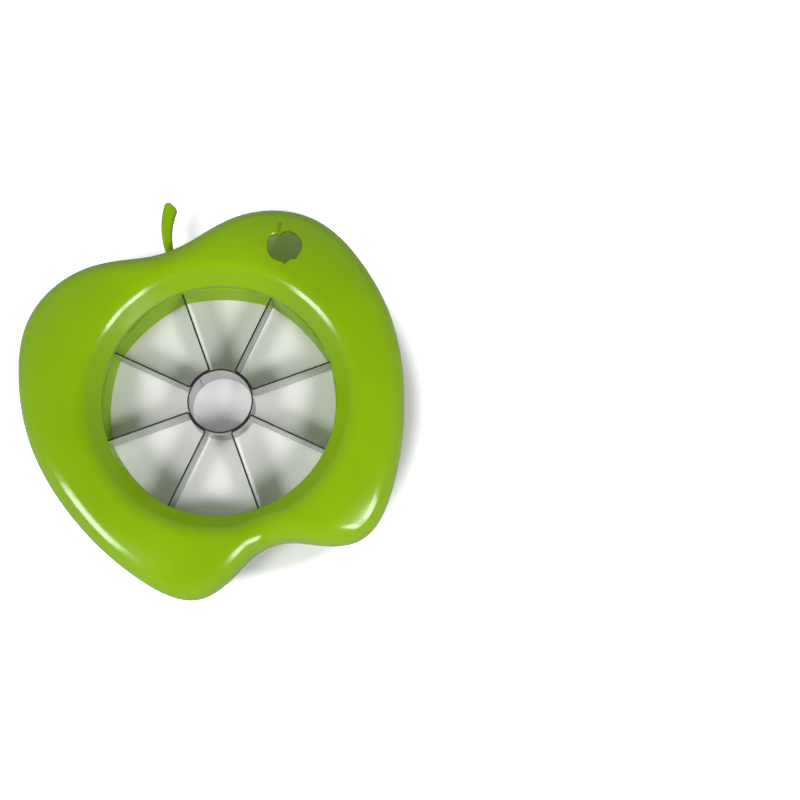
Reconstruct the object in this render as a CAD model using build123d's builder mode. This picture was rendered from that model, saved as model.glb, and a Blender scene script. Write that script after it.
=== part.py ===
# Apple slicer and corer: a hand-pressed ring of eight blades round a core tube,
# held in an apple-shaped moulded grip. Millimetres, +Z up, standing on Z = 0.
# The hub axis is the Z axis, and the stalk of the apple points along +Y.

import os
from math import asin, cos, degrees, radians, sin, tan

from build123d import *

# ---- Blade set --------------------------------------------------------------------
blade_count = 8
steel = 0.55              # strip thickness
blade_top = 14.0          # top edges of blades, tube and ring
blade_lift = 1.5          # lower edges of the blades above the table
bevel_height = 1.2        # sharpened lower edge
bevel_angle = 9.5
bend_radius = 0.8         # of the strip's middle line
blade_seat = 1.7          # how far a blade reaches into the ring
tube_outer = 11.5         # the tube stands on the table
tube_wall = 0.5
tube_edge = 0.3           # chamfer on the cutting edge
seam_angle = 112.5
seam_width = 0.25
seam_depth = 0.2
weld_gap = 0.02           # between strip and tube

# ---- Holder ring ------------------------------------------------------------------
bore_corner = 41.2        # bore at a blade
bore_bow = 0.9            # how much smaller it is between two blades
bore_draft = 1.0          # degrees, opening upwards
slot_clearance = 0.1      # each side of a blade and past its end
slot_wall = 1.0           # ring left behind the end of a blade
flange_width = 2.6
flange_height = 1.5
bore_lip = 0.6            # rounding of the lower edge of the bore
foot_round = 0.7          # rounding of the foot it stands on
ring_clearance = 0.15     # between ring and skirt
cap_clearance = 0.1       # between blade tops and the shoulder over them

# ---- Grip section -----------------------------------------------------------------
grip_wall = 2.4           # moulded wall
throat_step = 0.7         # ledge of the ring that shows inside the throat
mouth_height = 9.5        # crest of the grip above the blades
funnel_depth = 6.1        # crest above the upright throat
funnel_slope = 45.0       # degrees
crest_reach = 8.0         # from the throat out to the top of the domed band
crest_round = 6.0         # rounding of the mouth of the funnel
lobe_drop = 9.7           # fall of the band from its crest to the shoulder
edge_roll = 8.0           # rolled outer edge
lip_height = 5.3          # depth of the outer lip under the fall of the band
lip_round = 0.8
haunch = 3.0              # thickening where the skirt meets the shell
inset_points = 18         # points of the inner outline on each half

# ---- Grip outline: right half, as angles and as reaches beyond the bore -------------
top_dip_reach = 15.8                                # where the stalk grows
top_slope_angle, top_slope_reach = 76.7, 19.7
top_lobe_angle, top_lobe_reach = 64.5, 27.4         # top of the upper lobe
shoulder_angle, shoulder_reach = 45.1, 34.0
cheek_angle, cheek_reach = 25.8, 30.0
side_angle, side_reach = 7.7, 26.3                  # widest point of the apple
waist_angle, waist_reach = -21.9, 23.5
hip_angle, hip_reach = -45.2, 26.2                  # start of the tight lower lobe
bottom_lobe_angle, bottom_lobe_reach = -65.2, 27.9  # lowest point of the lower lobe
bottom_slope_angle, bottom_slope_reach = -76.3, 19.4
bottom_dip_reach = 13.0                             # notch between the lower lobes

# ---- Stalk ------------------------------------------------------------------------
stem_root_x = 0.7         # middle of its root
stem_rise = 17.7          # from the dip to the middle of the tip
stem_lean = 6.5           # towards +X
stem_bow = 1.6            # how far its middle stands off the straight line
stem_width = 2.6          # at the root
stem_tip_width = 5.0
stem_tip_slant = 22.0     # degrees, from a square cut
stem_tip_round = 1.5
stem_flare = 1.5          # rounding of the corners where it leaves the dip
stem_drop = 13.5          # underside of the stalk below the crest
stem_height = 4.2
stem_round = 1.1

# ---- Hang hole, a small plain apple, and the stalk pressed in above it --------------
hole_reach = 17.5         # beyond the bore
hole_angle = 47.4
hole_cleft_y = 5.2
hole_lobe_x, hole_lobe_y = 2.8, 5.8
hole_side_x, hole_side_y = 6.2, 0.6         # widest point
hole_hip_x, hole_hip_y = 4.8, -3.8
hole_foot_x, hole_foot_y = 2.5, -5.8
hole_notch_y = -5.3
hole_bevel = 0.4
groove_x = -0.4           # where it leaves the hole
groove_rise = 3.9
groove_lean = 1.8         # towards +X
groove_bow = 0.25
groove_width = 1.2
groove_depth = 0.5

blade_step = 360 / blade_count
blade_end_radius = bore_corner + blade_seat
bore_mid = bore_corner - bore_bow
ring_outer = blade_end_radius + slot_clearance + slot_wall
skirt_inner = ring_outer + ring_clearance
skirt_outer = ring_outer + flange_width
throat_radius = bore_mid + throat_step
throat_height = blade_top + cap_clearance
crest_radius = throat_radius + crest_reach
crest_height = blade_top + mouth_height
rim_height = crest_height - lobe_drop - lip_height
top_dip_y = bore_corner + top_dip_reach


def polar(radius, angle):
    return radius * cos(radians(angle)), radius * sin(radians(angle))


def outline_point(angle, reach):
    return polar(bore_corner + reach, angle)


def apple_outline(inset=0.0):
    """Plan outline of the grip, or of its inside one wall further in."""
    right_half = [
        (0, top_dip_y),
        outline_point(top_slope_angle, top_slope_reach),
        outline_point(top_lobe_angle, top_lobe_reach),
        outline_point(shoulder_angle, shoulder_reach),
        outline_point(cheek_angle, cheek_reach),
        outline_point(side_angle, side_reach),
        outline_point(waist_angle, waist_reach),
        outline_point(hip_angle, hip_reach),
        outline_point(bottom_lobe_angle, bottom_lobe_reach),
        outline_point(bottom_slope_angle, bottom_slope_reach),
        (0, -bore_corner - bottom_dip_reach),
    ]
    across = [(1, 0), (-1, 0)]
    with BuildLine() as outer:
        Spline(*right_half, tangents=across)
    with BuildSketch() as outline:
        with BuildLine():
            if inset:
                inner = []
                for step in range(inset_points + 1):
                    place = outer.edge() @ (step / inset_points)
                    along = outer.edge() % (step / inset_points)
                    inner.append((place.X + inset * along.Y, place.Y - inset * along.X))
                Spline(*inner, tangents=across)
            else:
                add(outer.edge())
            mirror(about=Plane.YZ)
        make_face()
    return outline.sketch


def scalloped_opening(mid, corner):
    """Bowed sides that meet at the blades."""
    with BuildSketch() as opening:
        with BuildLine():
            for side in range(blade_count):
                start = polar(corner, side * blade_step)
                middle = polar(mid, (side + 0.5) * blade_step)
                end = polar(corner, (side + 1) * blade_step)
                ThreePointArc(start, middle, end)
        make_face()
    return opening.sketch


def dome_block(drop):
    """Everything under the domed top, which is one arc turned round the hub."""
    band = bore_corner + shoulder_reach - crest_radius
    dome_radius = (band**2 + lobe_drop**2) / (2 * lobe_drop)
    sweep = degrees(asin((band + edge_roll) / dome_radius))

    def dome_point(angle):
        x = crest_radius + dome_radius * sin(radians(angle))
        z = crest_height - drop - dome_radius * (1 - cos(radians(angle)))
        return x, z

    inner_end = dome_point(-sweep)
    outer_end = dome_point(sweep)
    with BuildPart() as block:
        with BuildSketch(Plane.XZ):
            with BuildLine():
                ThreePointArc(inner_end, dome_point(0), outer_end)
                bottom = outer_end[1] - crest_height
                Polyline(outer_end, (outer_end[0], bottom), (0, bottom), (0, inner_end[1]), inner_end)
            make_face()
        revolve(axis=Axis.Z)
    return block.part


def apple_block(inset, drop, roll, floor):
    """Apple-shaped block with a domed top and a rolled upper edge."""
    dome = dome_block(drop)
    with BuildPart() as block:
        with BuildSketch(Plane.XY.offset(floor)):
            add(apple_outline(inset))
        extrude(amount=crest_height)
        add(dome, mode=Mode.INTERSECT)
        rolled = block.edges().filter_by(GeomType.BSPLINE)
        rolled = rolled.filter_by(lambda edge: edge.center().Z > (floor + crest_height) / 2)
        rolled = rolled.filter_by(lambda edge: edge.bounding_box().size.Y > crest_radius)
        fillet(rolled, radius=roll)
    return block.part


def stalk():
    """Curved stalk that widens to a slanted tip, in plan, on a bar inside the wall."""
    root = Vector(stem_root_x, top_dip_y)
    tip = root + Vector(stem_lean, stem_rise)
    aside = (tip - root).normalized().rotate(Axis.Z, 90) * stem_bow
    with BuildLine() as middle_line:
        ThreePointArc(root, (root + tip) / 2 + aside, tip)
    middle = middle_line.edge()

    def beside(place, reach):
        along = middle % place
        return middle @ place + Vector(along.Y, -along.X) * reach

    half, half_tip = stem_width / 2, stem_tip_width / 2
    half_middle = (half + half_tip) / 2
    slant = (middle % 1) * half_tip * tan(radians(stem_tip_slant))
    root_left, root_right = root - Vector(half), root + Vector(half)
    tip_left, tip_right = beside(1, -half_tip) + slant, beside(1, half_tip) - slant
    with BuildSketch() as plan:
        with BuildLine():
            ThreePointArc(root_left, beside(0.5, -half_middle), tip_left)
            Line(tip_left, tip_right)
            ThreePointArc(tip_right, beside(0.5, half_middle), root_right)
            Line(root_right, root_left)
        make_face()
        with Locations(root):
            Rectangle(stem_width + 4 * stem_flare, grip_wall, align=(Align.CENTER, Align.MAX))
        fillet(plan.vertices().sort_by_distance(root)[:2], radius=stem_flare)
        fillet(plan.vertices().sort_by_distance(tip)[:2], radius=stem_tip_round)
    return plan.sketch


def small_apple():
    """Outline of the hang hole."""
    with BuildSketch() as apple:
        with BuildLine():
            Spline(
                (0, hole_cleft_y),
                (hole_lobe_x, hole_lobe_y),
                (hole_side_x, hole_side_y),
                (hole_hip_x, hole_hip_y),
                (hole_foot_x, hole_foot_y),
                (0, hole_notch_y),
                tangents=[(1, 0.6), (-1, 0.5)],
            )
            mirror(about=Plane.YZ)
        make_face()
    return apple.sketch


# ---- Frame ------------------------------------------------------------------------
with BuildPart() as grip:                   # solid apple with the funnel through it
    add(apple_block(0, 0, edge_roll, rim_height))
    with BuildSketch(Plane.XZ):
        with BuildLine():
            low = (throat_radius, crest_height - funnel_depth)
            high = (low[0] + 2 * funnel_depth / tan(radians(funnel_slope)), low[1] + 2 * funnel_depth)
            Polyline((0, 0), (low[0], 0), low, high, (0, high[1]), close=True)
        make_face()
    revolve(axis=Axis.Z, mode=Mode.SUBTRACT)
    mouth = grip.edges(Select.LAST).filter_by(GeomType.LINE, reverse=True)
    mouth = mouth.filter_by(lambda edge: edge.bounding_box().min.Z > crest_height - funnel_depth / 2)
    fillet(mouth, radius=crest_round)

with BuildPart() as hollow:                 # space under the shell, outside the skirt
    add(apple_block(grip_wall, grip_wall, edge_roll - grip_wall, rim_height))
    with BuildSketch(Plane.XZ):
        with BuildLine():
            ceiling = crest_height - grip_wall
            low = (skirt_outer, ceiling - haunch)
            high = (skirt_outer + 2 * haunch, ceiling + haunch)
            Polyline((0, 0), (skirt_outer, 0), low, high, (0, high[1]), close=True)
        make_face()
    revolve(axis=Axis.Z, mode=Mode.SUBTRACT)

with BuildPart() as stalk_solid:
    with BuildSketch(Plane.XY.offset(crest_height - stem_drop)):
        add(stalk())
    extrude(amount=stem_height)
    flats = stalk_solid.faces().filter_by(Axis.Z).edges()
    fillet(flats.filter_by(lambda edge: edge.center().Y > top_dip_y), radius=stem_round)

hole_place = Vector(*polar(bore_corner + hole_reach, hole_angle))
with BuildPart() as groove:                 # pressed-in stalk above the hang hole
    groove_start = hole_place + Vector(groove_x, hole_cleft_y)
    groove_end = groove_start + Vector(groove_lean, groove_rise)
    with BuildSketch(Plane.XY.offset(rim_height)):
        with BuildLine() as groove_line:
            aside = (groove_end - groove_start).normalized().rotate(Axis.Z, 90) * groove_bow
            ThreePointArc(groove_start, (groove_start + groove_end) / 2 + aside, groove_end)
        SlotArc(groove_line.edge(), groove_width)
    extrude(amount=crest_height)
    add(dome_block(groove_depth), mode=Mode.SUBTRACT)

with BuildPart() as frame:
    add(grip.part)
    with BuildSketch(Plane.XY.offset(flange_height)):
        Circle(skirt_outer)
        Circle(skirt_inner, mode=Mode.SUBTRACT)
    extrude(amount=throat_height - flange_height)
    add(hollow.part, mode=Mode.SUBTRACT)
    with BuildSketch():                     # socket for the holder ring
        Circle(skirt_inner)
    extrude(amount=throat_height, mode=Mode.SUBTRACT)
    lip = frame.edges().filter_by_position(Axis.Z, rim_height, rim_height)
    fillet(lip.sort_by(SortBy.LENGTH)[-1], radius=lip_round)
    lip = frame.edges().filter_by_position(Axis.Z, rim_height, rim_height)
    fillet(lip.sort_by(SortBy.LENGTH)[0], radius=lip_round)
    with BuildSketch():
        with Locations(hole_place):
            add(small_apple())
    extrude(amount=2 * crest_height, mode=Mode.SUBTRACT)
    hole_edge = frame.edges(Select.LAST).filter_by(GeomType.LINE, reverse=True).group_by(Axis.Z)[-1]
    chamfer(hole_edge, length=hole_bevel)
    add(stalk_solid.part)
    add(groove.part, mode=Mode.SUBTRACT)

# ---- Holder ring ------------------------------------------------------------------
with BuildPart() as blade_ring:
    with BuildSketch():
        Circle(ring_outer)
    extrude(amount=blade_top)
    with BuildSketch():
        Circle(skirt_outer)
    extrude(amount=flange_height)
    with BuildSketch():
        add(scalloped_opening(bore_mid, bore_corner))
    extrude(amount=blade_top, taper=-bore_draft, mode=Mode.SUBTRACT)
    foot = blade_ring.faces().sort_by(Axis.Z)[0]
    fillet(foot.inner_wires()[0].edges(), radius=bore_lip)
    fillet(blade_ring.faces().sort_by(Axis.Z)[0].outer_wire().edges(), radius=foot_round)
    slot_floor = blade_lift - slot_clearance
    slot_end = blade_end_radius + slot_clearance
    with BuildSketch(Plane.XY.offset(slot_floor)):
        with PolarLocations(0, blade_count):
            with Locations((slot_end, 0)):
                Rectangle(slot_end, steel + 2 * slot_clearance, align=(Align.MAX, Align.CENTER))
    extrude(amount=blade_top, mode=Mode.SUBTRACT)

# ---- Core tube --------------------------------------------------------------------
tube_bore = tube_outer - tube_wall
with BuildPart() as core_tube:
    with BuildSketch():
        Circle(tube_outer)
        Circle(tube_bore, mode=Mode.SUBTRACT)
    extrude(amount=blade_top)
    chamfer(core_tube.edges().group_by(Axis.Z)[0].sort_by(SortBy.LENGTH)[-1], length=tube_edge)
    with BuildSketch():                     # seam of the rolled tube, on its inside
        with Locations(polar(tube_bore, seam_angle)):
            Rectangle(2 * seam_depth, seam_width, rotation=seam_angle)
    extrude(amount=blade_top, mode=Mode.SUBTRACT)

# ---- Blade strips: two blades and the part between them that hugs the tube ---------
strip_radius = tube_outer + weld_gap + steel / 2
strips = []
for pair in range(blade_count // 2):
    first = 2 * pair * blade_step
    last = first + blade_step
    with BuildPart() as strip:
        with BuildSketch(Plane.XY.offset(blade_top)) as plan:
            with BuildLine() as middle_line:
                Line(polar(blade_end_radius, first), polar(strip_radius, first))
                ThreePointArc(
                    polar(strip_radius, first),
                    polar(strip_radius, first + blade_step / 2),
                    polar(strip_radius, last),
                )
                Line(polar(strip_radius, last), polar(blade_end_radius, last))
                bends = middle_line.vertices().sort_by_distance((0, 0))[:2]
                fillet(bends, radius=bend_radius)
            trace(line_width=steel)
        extrude(amount=-(blade_top - blade_lift - bevel_height))
        extrude(strip.faces().sort_by(Axis.Z)[0], amount=bevel_height, taper=bevel_angle)
    strips.append(strip)

os.makedirs("parts", exist_ok=True)
pieces = {"frame": frame, "blade_ring": blade_ring, "core_tube": core_tube}
for number, strip in enumerate(strips, start=1):
    pieces[f"blade_strip_{number}"] = strip
for name, piece in pieces.items():
    piece.part.label = name
    export_step(piece.part, f"parts/{name}.step")
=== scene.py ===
from math import cos, radians, sin

import bpy
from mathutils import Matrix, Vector

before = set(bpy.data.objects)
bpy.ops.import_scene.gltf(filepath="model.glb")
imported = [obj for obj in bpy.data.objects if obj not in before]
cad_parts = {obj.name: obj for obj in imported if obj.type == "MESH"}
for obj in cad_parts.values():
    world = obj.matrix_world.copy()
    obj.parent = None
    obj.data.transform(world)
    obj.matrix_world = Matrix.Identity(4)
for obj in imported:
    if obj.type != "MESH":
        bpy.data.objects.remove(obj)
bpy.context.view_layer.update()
print("frame loaded:", ", ".join(sorted(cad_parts)))


def deselectAll():
    if bpy.context.object and bpy.context.object.mode != "OBJECT":
        bpy.ops.object.mode_set(mode="OBJECT")
    bpy.ops.object.select_all(action="DESELECT")


# shader node helpers
def addNode(tree, kind, **values):
    node = tree.nodes.new(kind)
    for name, value in values.items():
        if hasattr(node, name):
            setattr(node, name, value)
        else:
            node.inputs[name.replace("_", " ")].default_value = value
    return node


def newGroup(name, inputs, outputs):
    tree = bpy.data.node_groups.new(name, "ShaderNodeTree")
    for label, kind, value in inputs:
        socket = tree.interface.new_socket(label, in_out="INPUT", socket_type=kind)
        socket.default_value = value
    for label, kind in outputs:
        tree.interface.new_socket(label, in_out="OUTPUT", socket_type=kind)
    start = tree.nodes.new("NodeGroupInput")
    end = tree.nodes.new("NodeGroupOutput")
    return tree, start, end


def mathNode(tree, operation, first, second=None, third=None):
    node = addNode(tree, "ShaderNodeMath", operation=operation)
    for slot, value in enumerate((first, second, third)):
        if value is None:
            continue
        if isinstance(value, (int, float)):
            node.inputs[slot].default_value = value
        else:
            tree.links.new(value, node.inputs[slot])
    return node.outputs[0]


def useGroup(tree, group, **values):
    node = tree.nodes.new("ShaderNodeGroup")
    node.node_tree = group
    for name, value in values.items():
        node.inputs[name.replace("_", " ")].default_value = value
    return node


def newMaterial(name):
    material = bpy.data.materials.new(name)
    material.use_nodes = True
    tree = material.node_tree
    return material, tree, tree.nodes["Principled BSDF"]


def colourRamp(tree, value, stops):
    ramp = tree.nodes.new("ShaderNodeValToRGB")
    elements = ramp.color_ramp.elements
    while len(elements) < len(stops):
        elements.new(0.5)
    for element, (place, colour) in zip(elements, stops):
        element.position = place
        element.color = (*colour, 1)
    tree.links.new(value, ramp.inputs["Fac"])
    return ramp.outputs["Color"]


def blendColour(tree, factor, first, second):
    blend = addNode(tree, "ShaderNodeMix", data_type="RGBA")
    tree.links.new(factor, blend.inputs["Factor"])
    for socket, colour in (("A", first), ("B", second)):
        if isinstance(colour, tuple):
            blend.inputs[socket].default_value = (*colour, 1)
        else:
            tree.links.new(colour, blend.inputs[socket])
    return blend.outputs["Result"]


def fade(tree, value, start, end):
    # one at the start of the stretch, none at its end
    stretch = addNode(tree, "ShaderNodeMapRange", interpolation_type="SMOOTHSTEP",
                      From_Min=start, From_Max=end, To_Min=1.0, To_Max=0.0)
    tree.links.new(value, stretch.inputs["Value"])
    return stretch.outputs["Result"]


def objectPlace(tree):
    place = addNode(tree, "ShaderNodeTexCoord")
    split = addNode(tree, "ShaderNodeSeparateXYZ")
    tree.links.new(place.outputs["Object"], split.inputs["Vector"])
    return split.outputs["X"], split.outputs["Y"], split.outputs["Z"]


def length(tree, first, second):
    total = mathNode(tree, "MULTIPLY", first, first)
    total = mathNode(tree, "MULTIPLY_ADD", second, second, total)
    return mathNode(tree, "SQRT", total)


def addBump(tree, shader, height, strength, distance, previous=None):
    bump = addNode(tree, "ShaderNodeBump", Strength=strength, Distance=distance)
    tree.links.new(height, bump.inputs["Height"])
    if previous:
        tree.links.new(previous, bump.inputs["Normal"])
    tree.links.new(bump.outputs["Normal"], shader.inputs["Normal"])
    return bump.outputs["Normal"]


variationLook = {
    "cloudScale": 18.0,
    "cloudDetail": (3.0, 0.55),         # detail and roughness
    "peelScale": 420.0,
    "peelDetail": 1.0,
    "smudgeScale": 46.0,
    "smudgeDetail": (4.0, 0.8),         # detail and distortion
    "smudgeRange": (0.56, 0.74),
}


def makeSurfaceVariation(look):
    tree, start, end = newGroup(
        "surfaceVariation",
        [("Cloud Scale", "NodeSocketFloat", look["cloudScale"]),
         ("Peel Scale", "NodeSocketFloat", look["peelScale"])],
        [("Cloud", "NodeSocketFloat"), ("Peel", "NodeSocketFloat"), ("Smudge", "NodeSocketFloat")],
    )
    place = addNode(tree, "ShaderNodeTexCoord")
    cloud = addNode(tree, "ShaderNodeTexNoise",
                    Detail=look["cloudDetail"][0], Roughness=look["cloudDetail"][1])
    peel = addNode(tree, "ShaderNodeTexNoise", Detail=look["peelDetail"])
    smudge = addNode(tree, "ShaderNodeTexNoise", Scale=look["smudgeScale"],
                     Detail=look["smudgeDetail"][0], Distortion=look["smudgeDetail"][1])
    ramp = addNode(tree, "ShaderNodeMapRange",
                   From_Min=look["smudgeRange"][0], From_Max=look["smudgeRange"][1])
    tree.links.new(start.outputs["Cloud Scale"], cloud.inputs["Scale"])
    tree.links.new(start.outputs["Peel Scale"], peel.inputs["Scale"])
    for noise in (cloud, peel, smudge):
        tree.links.new(place.outputs["Object"], noise.inputs["Vector"])
    tree.links.new(smudge.outputs["Fac"], ramp.inputs["Value"])
    tree.links.new(cloud.outputs["Fac"], end.inputs["Cloud"])
    tree.links.new(peel.outputs["Fac"], end.inputs["Peel"])
    tree.links.new(ramp.outputs["Result"], end.inputs["Smudge"])
    return tree


rollingLook = {
    "lineScale": 1.0,
    "lineStretch": (24.0, 24.0, 2600.0),
    "bandScale": 1.0,
    "bandStretch": (14.0, 14.0, 420.0),
    "detail": 2.0,
}


def makeRollingLines(look):
    # fine lines left by rolling, level all round the tube and along each blade
    tree, start, end = newGroup(
        "rollingLines",
        [("Line Scale", "NodeSocketFloat", look["lineScale"])],
        [("Lines", "NodeSocketFloat"), ("Bands", "NodeSocketFloat")],
    )
    place = addNode(tree, "ShaderNodeTexCoord")
    narrow = addNode(tree, "ShaderNodeMapping", Scale=look["lineStretch"])
    wide = addNode(tree, "ShaderNodeMapping", Scale=look["bandStretch"])
    lines = addNode(tree, "ShaderNodeTexNoise", Detail=look["detail"])
    bands = addNode(tree, "ShaderNodeTexNoise", Scale=look["bandScale"], Detail=look["detail"])
    tree.links.new(start.outputs["Line Scale"], lines.inputs["Scale"])
    for stretch, noise, output in ((narrow, lines, "Lines"), (wide, bands, "Bands")):
        tree.links.new(place.outputs["Object"], stretch.inputs["Vector"])
        tree.links.new(stretch.outputs["Vector"], noise.inputs["Vector"])
        tree.links.new(noise.outputs["Fac"], end.inputs[output])
    return tree


surfaceVariation = makeSurfaceVariation(variationLook)
rollingLines = makeRollingLines(rollingLook)

plasticLook = {
    "deep": (0.205, 0.385, 0.003),
    "bright": (0.252, 0.450, 0.003),
    "roughness": (0.16, 0.25),
    "cloudRange": (0.3, 0.7),
    "peelStrength": 0.35,
    "peelHeight": 0.000008,
    "gloss": 0.42,
}

# the holder ring is painted a paler green than the frame, painted light for its shaded bore, with a
# satin finish
ringPaintedLightLook = dict(plasticLook, deep=(0.250, 0.450, 0.003), bright=(0.300, 0.520, 0.004),
                roughness=(0.34, 0.42), gloss=0.16)


def makePlastic(name, look):
    material, tree, shader = newMaterial(name)
    variation = useGroup(tree, surfaceVariation)
    stops = list(zip(look["cloudRange"], (look["deep"], look["bright"])))
    colour = colourRamp(tree, variation.outputs["Cloud"], stops)
    tree.links.new(colour, shader.inputs["Base Color"])
    roughness = addNode(tree, "ShaderNodeMapRange",
                        To_Min=look["roughness"][0], To_Max=look["roughness"][1])
    tree.links.new(variation.outputs["Smudge"], roughness.inputs["Value"])
    tree.links.new(roughness.outputs["Result"], shader.inputs["Roughness"])
    addBump(tree, shader, variation.outputs["Peel"], look["peelStrength"], look["peelHeight"])
    shader.inputs["Specular IOR Level"].default_value = look["gloss"]
    return material


steelLook = {
    "dark": (0.64, 0.635, 0.63),
    "pale": (0.88, 0.875, 0.87),
    "toneRange": (0.45, 0.95),
    "bandShare": (0.6, 0.2),            # how much the bands change the tone, and from where
    "cloudShare": 0.4,
    "cloudScale": 60.0,
    "roughness": (0.15, 0.28),
    "roughnessRange": (0.3, 0.7),
    "metal": 0.72,
    "lineStrength": 0.5,
    "lineHeight": 0.000012,
    "paintedDarkTopHeight": (0.01394, 0.01368),    # a dark band painted along the top edges: a painted dark reflection
    "paintedDarkTopColour": (0.09, 0.087, 0.084),
    "seamAngle": 112.5,                 # butt seam of the rolled tube
    "seamReach": (0.010, 0.022),        # half its width, in radians round the tube
    "seamColour": (0.12, 0.115, 0.11),
    "groundHighlightHeight": (0.0026, 0.0029),   # where the ground edge of a blade ends; the real bevel below is painted near white as a painted highlight
    "groundHighlightColour": (0.95, 0.95, 0.95),
    "groundHighlightMetal": 0.35,
}

weldLook = {
    "halfStep": 22.5,                   # degrees from a blade to the mark beside it
    "radius": 0.0118,                   # where the turn is measured as a width
    "outside": (0.0114, 0.0112),        # none on the inside of the tube
    "height": 0.0072,
    "pitReach": (0.00057, 0.00152),
    "tintReach": (0.00114, 0.00285),
    "strength": 1.0,
    "depth": 0.00005,
    "pit": (0.17, 0.135, 0.11),
    "straw": (0.50, 0.36, 0.24),
}


def makeWeldMarks(look):
    # spot welds midway between the blades: a dull pit with a straw heat tint
    tree, start, end = newGroup(
        "weldMarks",
        [("Steel", "NodeSocketColor", (0.8, 0.8, 0.8, 1.0))],
        [("Color", "NodeSocketColor"), ("Pit", "NodeSocketFloat")],
    )
    x, y, z = objectPlace(tree)
    halfStep = radians(look["halfStep"])
    turn = mathNode(tree, "SUBTRACT", mathNode(tree, "ARCTAN2", y, x), halfStep)
    turn = mathNode(tree, "WRAP", turn, halfStep, -halfStep)
    across = mathNode(tree, "MULTIPLY", turn, look["radius"])
    up = mathNode(tree, "SUBTRACT", z, look["height"])
    away = length(tree, across, up)
    outside = fade(tree, length(tree, x, y), *look["outside"])
    tint = mathNode(tree, "MULTIPLY", fade(tree, away, *look["tintReach"]), outside)
    pit = mathNode(tree, "MULTIPLY", fade(tree, away, *look["pitReach"]), outside)
    colour = blendColour(tree, tint, start.outputs["Steel"], look["straw"])
    colour = blendColour(tree, pit, colour, look["pit"])
    tree.links.new(colour, end.inputs["Color"])
    tree.links.new(pit, end.inputs["Pit"])
    return tree


weldMarks = makeWeldMarks(weldLook)


def makeSteel(name, look, blade):
    material, tree, shader = newMaterial(name)
    rolled = useGroup(tree, rollingLines)
    variation = useGroup(tree, surfaceVariation, Cloud_Scale=look["cloudScale"])
    mixed = mathNode(tree, "MULTIPLY_ADD", rolled.outputs["Bands"], *look["bandShare"])
    mixed = mathNode(tree, "MULTIPLY_ADD", variation.outputs["Cloud"], look["cloudShare"], mixed)
    colour = colourRamp(tree, mixed, list(zip(look["toneRange"], (look["dark"], look["pale"]))))
    roughness = addNode(tree, "ShaderNodeMapRange",
                        From_Min=look["roughnessRange"][0], From_Max=look["roughnessRange"][1],
                        To_Min=look["roughness"][0], To_Max=look["roughness"][1])
    tree.links.new(rolled.outputs["Lines"], roughness.inputs["Value"])
    tree.links.new(roughness.outputs["Result"], shader.inputs["Roughness"])
    lines = addBump(tree, shader, rolled.outputs["Lines"], look["lineStrength"], look["lineHeight"])
    x, y, z = objectPlace(tree)
    # a dark band painted along the top edges: a painted dark reflection
    paintedDarkTop = fade(tree, z, *look["paintedDarkTopHeight"])
    welds = useGroup(tree, weldMarks)
    tree.links.new(blendColour(tree, paintedDarkTop, colour, look["paintedDarkTopColour"]), welds.inputs["Steel"])
    colour = welds.outputs["Color"]
    unpitted = mathNode(tree, "SUBTRACT", 1.0, welds.outputs["Pit"])
    addBump(tree, shader, unpitted, weldLook["strength"], weldLook["depth"], lines)
    shader.inputs["Metallic"].default_value = look["metal"]
    if blade:
        # the ground bevel is painted near white and less metallic: a painted highlight on a real
        # edge
        groundHighlight = fade(tree, z, *look["groundHighlightHeight"])
        colour = blendColour(tree, groundHighlight, colour, look["groundHighlightColour"])
        change = look["groundHighlightMetal"] - look["metal"]
        metal = mathNode(tree, "MULTIPLY_ADD", groundHighlight, change, look["metal"])
        tree.links.new(metal, shader.inputs["Metallic"])
    else:
        turn = mathNode(tree, "ARCTAN2", y, x)
        turn = mathNode(tree, "SUBTRACT", turn, radians(look["seamAngle"]))
        seam = fade(tree, mathNode(tree, "ABSOLUTE", turn), *look["seamReach"])
        colour = blendColour(tree, seam, colour, look["seamColour"])
    tree.links.new(colour, shader.inputs["Base Color"])
    return material


glossyPlastic = makePlastic("glossyGreenPlastic", plasticLook)
# the holder ring's paler green is painted light on its shaded bore
satinPaintedLightPlastic = makePlastic("satinGreenPaintedLightPlastic", ringPaintedLightLook)
tubeSteel = makeSteel("tubeSteel", steelLook, blade=False)
bladeSteel = makeSteel("bladeSteel", steelLook, blade=True)


def dress(node, material):
    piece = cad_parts[node]
    piece.data.materials.clear()
    piece.data.materials.append(material)


dress("frame", glossyPlastic)
dress("blade_ring", satinPaintedLightPlastic)
dress("core_tube", tubeSteel)
for number in range(1, 5):
    dress(f"blade_strip_{number}", bladeSteel)
print("materials made")

floorLook = {
    # each pair holds near the place and away from it; a place is its middle and where it changes
    # painted light and shade: the floor is darker near the object and glows away from it, washing
    # out the object's shadow there
    "pale": (0.76, 0.93),               # as the camera sees it
    "glow": (0.01, 0.60),
    "palePlace": ((0.008, -0.002, 0), (0.0575, 0.067)),
    # painted reflection: in the object's reflections the floor is brighter near the middle
    "mirrored": (0.48, 0.38),           # as the object mirrors it
    "mirroredPlace": ((0, 0, 0), (0.044, 0.062)),
    "bounce": 0.80,                     # what it throws back
    # a green patch stands in for the shade below the hang hole; seen low from behind,
    # it shows as a disc on the open floor
    "shadeColour": (0.52, 0.60, 0.42),
    "shadeLight": (0.55, 1.0, 0.06),
    "shadeGlow": 0.10,
    "shadePlace": ((0.0408, 0.0490, 0), (0.0078, 0.0105)),
    "white": (1.0, 1.0, 1.0),
    "roughness": 0.75,
    "size": 6.0,
}


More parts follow.
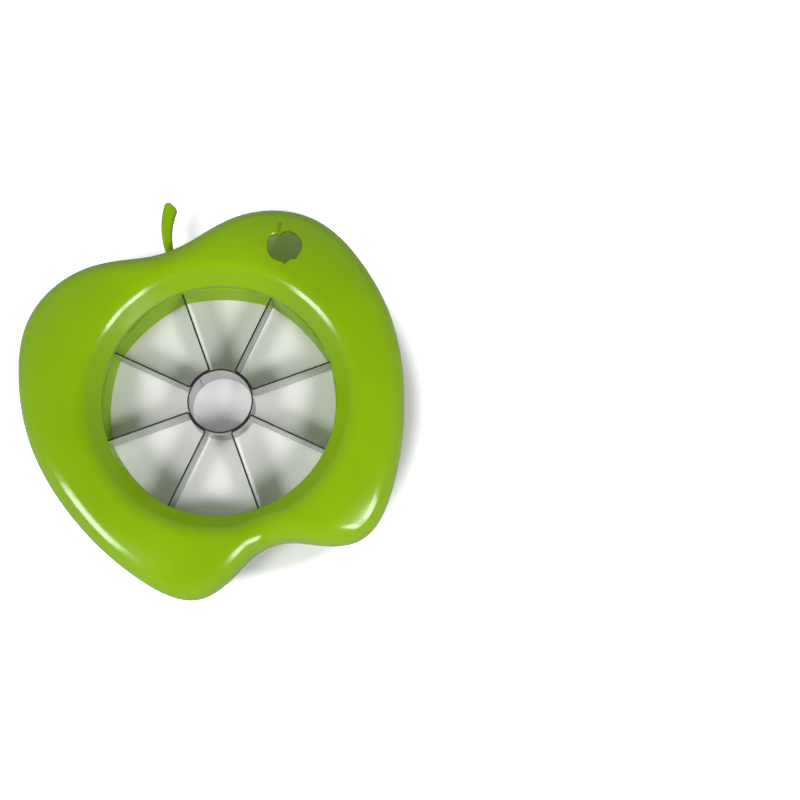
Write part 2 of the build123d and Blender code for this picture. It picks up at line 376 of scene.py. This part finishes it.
def makeFloor(name, look):
    material, tree, shader = newMaterial(name)
    rays = tree.nodes.new("ShaderNodeLightPath")
    seen = rays.outputs["Is Camera Ray"]
    reflected = mathNode(tree, "MAXIMUM",
                         rays.outputs["Is Glossy Ray"], rays.outputs["Is Transmission Ray"])
    spot = addNode(tree, "ShaderNodeTexCoord")

    def nearPlace(place):
        # one near the middle, none past the reach
        middle, reach = place
        away = addNode(tree, "ShaderNodeVectorMath", operation="DISTANCE")
        tree.links.new(spot.outputs["Object"], away.inputs[0])
        away.inputs[1].default_value = middle
        return fade(tree, away.outputs["Value"], *reach)

    def floorValue(values, place):
        near, far = values
        return mathNode(tree, "MULTIPLY_ADD", nearPlace(place), near - far, far)

    def choose(factor, chosen, other):
        # the chosen value where the factor is one, the other value where it is none
        change = mathNode(tree, "SUBTRACT", chosen, other)
        return mathNode(tree, "MULTIPLY_ADD", factor, change, other)

    # painted light and shade on the floor: darker near the object, glowing away from it, brighter
    # in reflections near the middle
    pale = floorValue(look["pale"], look["palePlace"])
    mirror = floorValue(look["mirrored"], look["mirroredPlace"])
    glow = floorValue(look["glow"], look["palePlace"])
    paleness = choose(seen, pale, choose(reflected, mirror, look["bounce"]))
    shade = mathNode(tree, "MULTIPLY", nearPlace(look["shadePlace"]), seen)
    glow = choose(shade, look["shadeGlow"], mathNode(tree, "MULTIPLY", seen, glow))
    colour = blendColour(tree, shade, paleness, look["shadeColour"])
    light = blendColour(tree, shade, look["white"], look["shadeLight"])
    tree.links.new(colour, shader.inputs["Base Color"])
    tree.links.new(light, shader.inputs["Emission Color"])
    tree.links.new(glow, shader.inputs["Emission Strength"])
    shader.inputs["Roughness"].default_value = look["roughness"]
    return material


deselectAll()
bpy.ops.mesh.primitive_plane_add(size=floorLook["size"], location=(0, 0, 0))
floor = bpy.context.object
floor.name = "floor"
floor.data.materials.append(makeFloor("paleFloor", floorLook))

skyLook = {
    "stops": [
        (0.0, (0.50, 0.51, 0.53)),
        (0.35, (0.42, 0.43, 0.45)),
        (0.75, (0.14, 0.145, 0.15)),
        (1.0, (0.05, 0.05, 0.05)),
    ],
    "strength": 0.75,
}

world = bpy.data.worlds.new("studio")
bpy.context.scene.world = world
world.use_nodes = True
tree = world.node_tree
direction = addNode(tree, "ShaderNodeTexCoord")
upward = addNode(tree, "ShaderNodeSeparateXYZ")
tree.links.new(direction.outputs["Generated"], upward.inputs["Vector"])
sky = colourRamp(tree, upward.outputs["Z"], skyLook["stops"])
tree.links.new(sky, tree.nodes["Background"].inputs["Color"])
tree.nodes["Background"].inputs["Strength"].default_value = skyLook["strength"]

lampLook = {
    "distance": 1.1,
    # without a fill a lamp is only seen mirrored, and without a shine it only lights
    "softboxes": [
        {"azimuth": 190, "height": 36, "size": (0.46, 0.56), "power": 1.7},
        {"azimuth": 302, "height": 36, "size": (0.42, 0.56), "power": 1.7},
        {"azimuth": 190, "height": 35, "size": (0.38, 0.44), "power": 8.0, "fill": False},
        {"azimuth": 294, "height": 35, "size": (0.20, 0.44), "power": 4.8, "fill": False},
        {"azimuth": 311, "height": 35, "size": (0.20, 0.44), "power": 4.8, "fill": False},
        {"azimuth": 194, "height": 52, "size": (0.27, 0.27), "power": 5.2, "shine": False},
        {"azimuth": 302, "height": 52, "size": (0.27, 0.27), "power": 5.2, "shine": False},
        {"azimuth": 0, "height": 90, "size": (1.10, 1.10), "power": 0.4, "shine": False},
        {"azimuth": 95, "height": 42, "size": (0.80, 0.60), "power": 0.9, "shine": False},
    ],
}

for number, box in enumerate(lampLook["softboxes"], start=1):
    azimuth, height = radians(box["azimuth"]), radians(box["height"])
    place = Vector((cos(height) * cos(azimuth), cos(height) * sin(azimuth), sin(height)))
    bpy.ops.object.light_add(type="AREA", location=place * lampLook["distance"])
    lamp = bpy.context.object
    lamp.name = f"softbox{number}"
    lamp.data.shape = "RECTANGLE"
    lamp.data.size, lamp.data.size_y = box["size"]
    lamp.data.energy = box["power"]
    lamp.visible_glossy = box.get("shine", True)
    lamp.visible_diffuse = box.get("fill", True)
    lamp.rotation_euler = place.to_track_quat("Z", "Y").to_euler()

cameraLook = {
    "place": (0.01049, -0.11654, 0.531),
    "turn": (11.61, -1.41, -20.37),
    "lens": 67.5,
}

bpy.ops.object.camera_add(location=cameraLook["place"],
                          rotation=[radians(angle) for angle in cameraLook["turn"]])
camera = bpy.context.object
camera.data.lens = cameraLook["lens"]
bpy.context.scene.camera = camera
bpy.context.scene.view_settings.view_transform = "Standard"
print("floor, light and camera placed")
